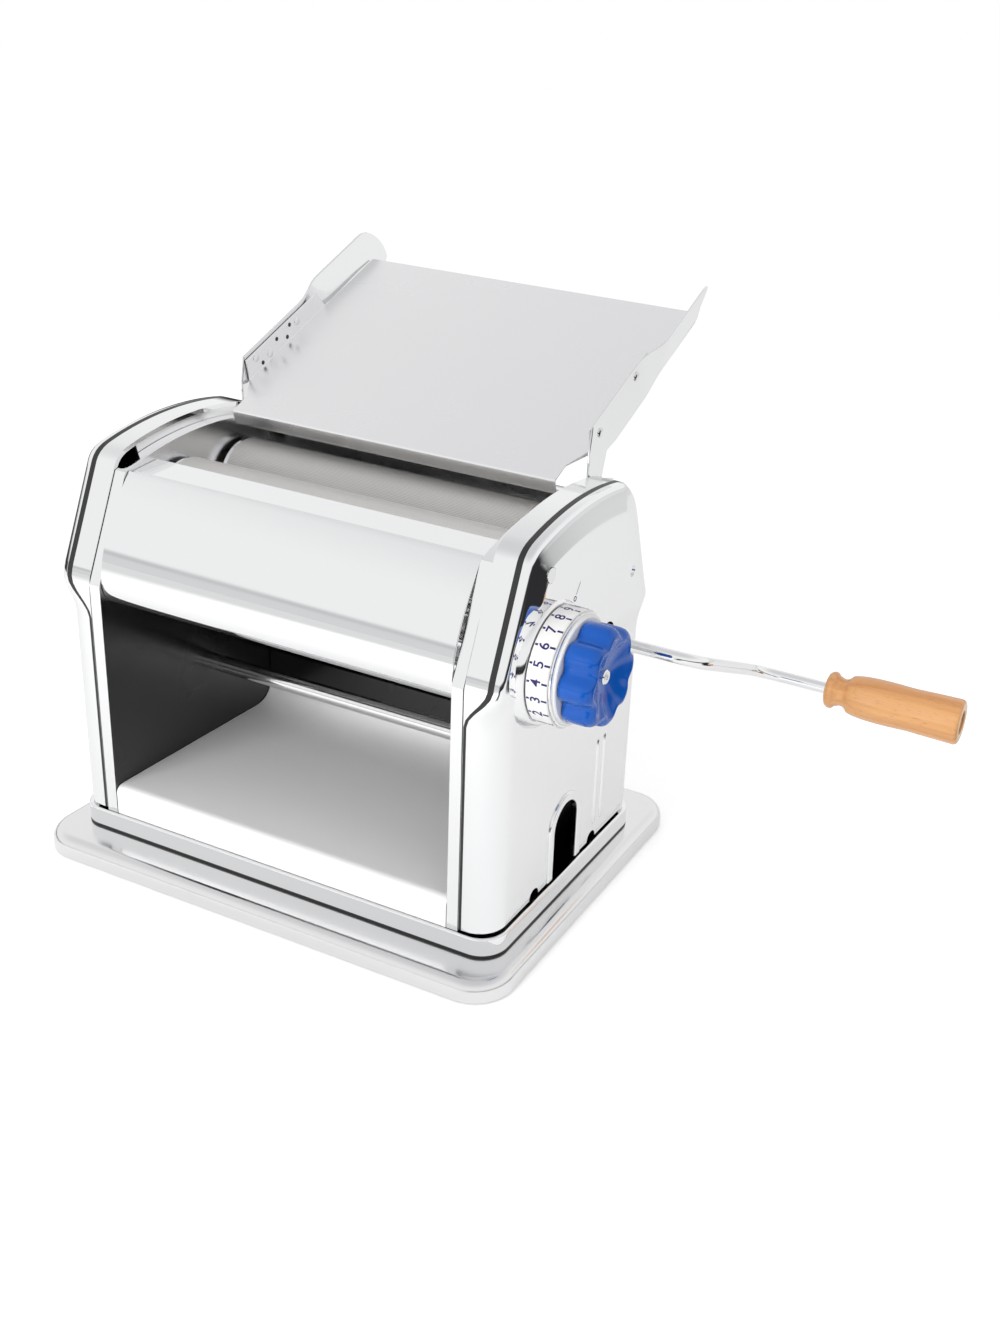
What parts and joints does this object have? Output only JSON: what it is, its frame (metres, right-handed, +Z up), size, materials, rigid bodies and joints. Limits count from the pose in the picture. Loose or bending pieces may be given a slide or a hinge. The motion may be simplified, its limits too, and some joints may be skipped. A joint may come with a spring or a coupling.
{
  "type": "pasta roller machine",
  "caption": "Hand-cranked table machine with two geared steel rollers, a numbered thickness dial, a sloping dough tray and a wooden crank grip.",
  "frame": {"origin": "on the table under the middle of the base; the body's plan is centred on it along X", "axes": "+X along the roller axes towards the crank and dial, -Y to the front where the sheet comes out, +Z up"},
  "size_m": [0.4735, 0.2939, 0.3284],
  "materials": {
    "chrome": "polished chrome plate on steel sheet and castings",
    "plate_steel": "satin stainless sheet",
    "bright_steel": "bright turned and plated steel",
    "roller_steel": "hard plated roller steel with a fine knurl",
    "gear_steel": "cut steel, lightly oiled",
    "bronze": "sintered bronze",
    "dial_white": "white moulded ring with dark blue marks",
    "knob_blue": "glossy deep blue",
    "beech": "lacquered beech",
    "foot_rubber": "matt black rubber"
  },
  "bodies": {
    "body": {"base_shell": "chrome", "bottom_plate": "plate_steel", "rubber_mat": "foot_rubber", "plinth_band": "chrome", "floor_tray": "chrome", "frame_left": "chrome", "frame_right": "chrome", "cover_left": "chrome", "cover_right": "chrome", "front_cover": "chrome", "top_strip": "chrome", "rear_cover": "chrome", "tie_rods": "bright_steel", "tie_rod_nuts": "bright_steel", "rear_bushes": "bronze", "crank_bush": "bronze", "scraper_blades": "plate_steel", "scraper_rods": "bright_steel", "cover_screws": "bright_steel"},
    "front_roller_body": {"front_roller": "roller_steel", "sync_gear_front": "gear_steel"},
    "rear_roller_body": {"rear_roller": "roller_steel", "sync_gear_rear": "gear_steel", "drive_gear": "gear_steel"},
    "crank": {"crank_spindle": "bright_steel", "crank_pinion": "gear_steel", "crank_rod": "bright_steel", "grip_nut": "bright_steel"},
    "grip": {"wood_grip": "beech"},
    "knob": {"adjuster_shaft": "bright_steel", "adjuster_cams": "gear_steel", "dial_ring": "dial_white", "dial_bezel": "bright_steel", "dial_knob": "knob_blue", "knob_screw": "bright_steel"},
    "carriage": {"bearing_block_left": "bronze", "bearing_block_right": "bronze"},
    "tray": {"dough_tray": "plate_steel", "tray_wing_left": "plate_steel", "tray_wing_right": "plate_steel", "tray_rivets": "bright_steel"}
  },
  "joints": [
    {"name": "rear_roller_turn", "type": "hinge", "parent": "body", "child": "rear_roller_body", "pos_m": [0, 0.0253, 0.201], "axis": [1, 0, 0], "continuous": true},
    {"name": "crank_turn", "type": "hinge", "parent": "body", "child": "crank", "pos_m": [0, 0.018, 0.15827], "axis": [1, 0, 0], "continuous": true},
    {"name": "grip_spin", "type": "hinge", "parent": "crank", "child": "grip", "pos_m": [0.28, 0.12306, 0.11149], "axis": [1, 0, 0], "continuous": true},
    {"name": "knob_turn", "type": "hinge", "parent": "body", "child": "knob", "pos_m": [0, -0.0456, 0.1692], "axis": [1, 0, 0], "range_deg": [-155, 0]},
    {"name": "carriage_slide", "type": "slide", "parent": "body", "child": "carriage", "axis": [0, 1, 0], "range_m": [0, 0.0043]},
    {"name": "front_roller_turn", "type": "hinge", "parent": "carriage", "child": "front_roller_body", "pos_m": [0, -0.0253, 0.201], "axis": [1, 0, 0], "continuous": true},
    {"name": "tray_lift", "type": "slide", "parent": "body", "child": "tray", "axis": [0, 0, 1], "range_m": [0, 0.06]}
  ],
  "couplings": [
    {"joint": "crank_turn", "follows": "rear_roller_turn", "ratio": -2.4},
    {"joint": "front_roller_turn", "follows": "rear_roller_turn", "ratio": -1},
    {"joint": "knob_turn", "follows": "carriage_slide", "rad_per_m": -629.13}
  ]
}
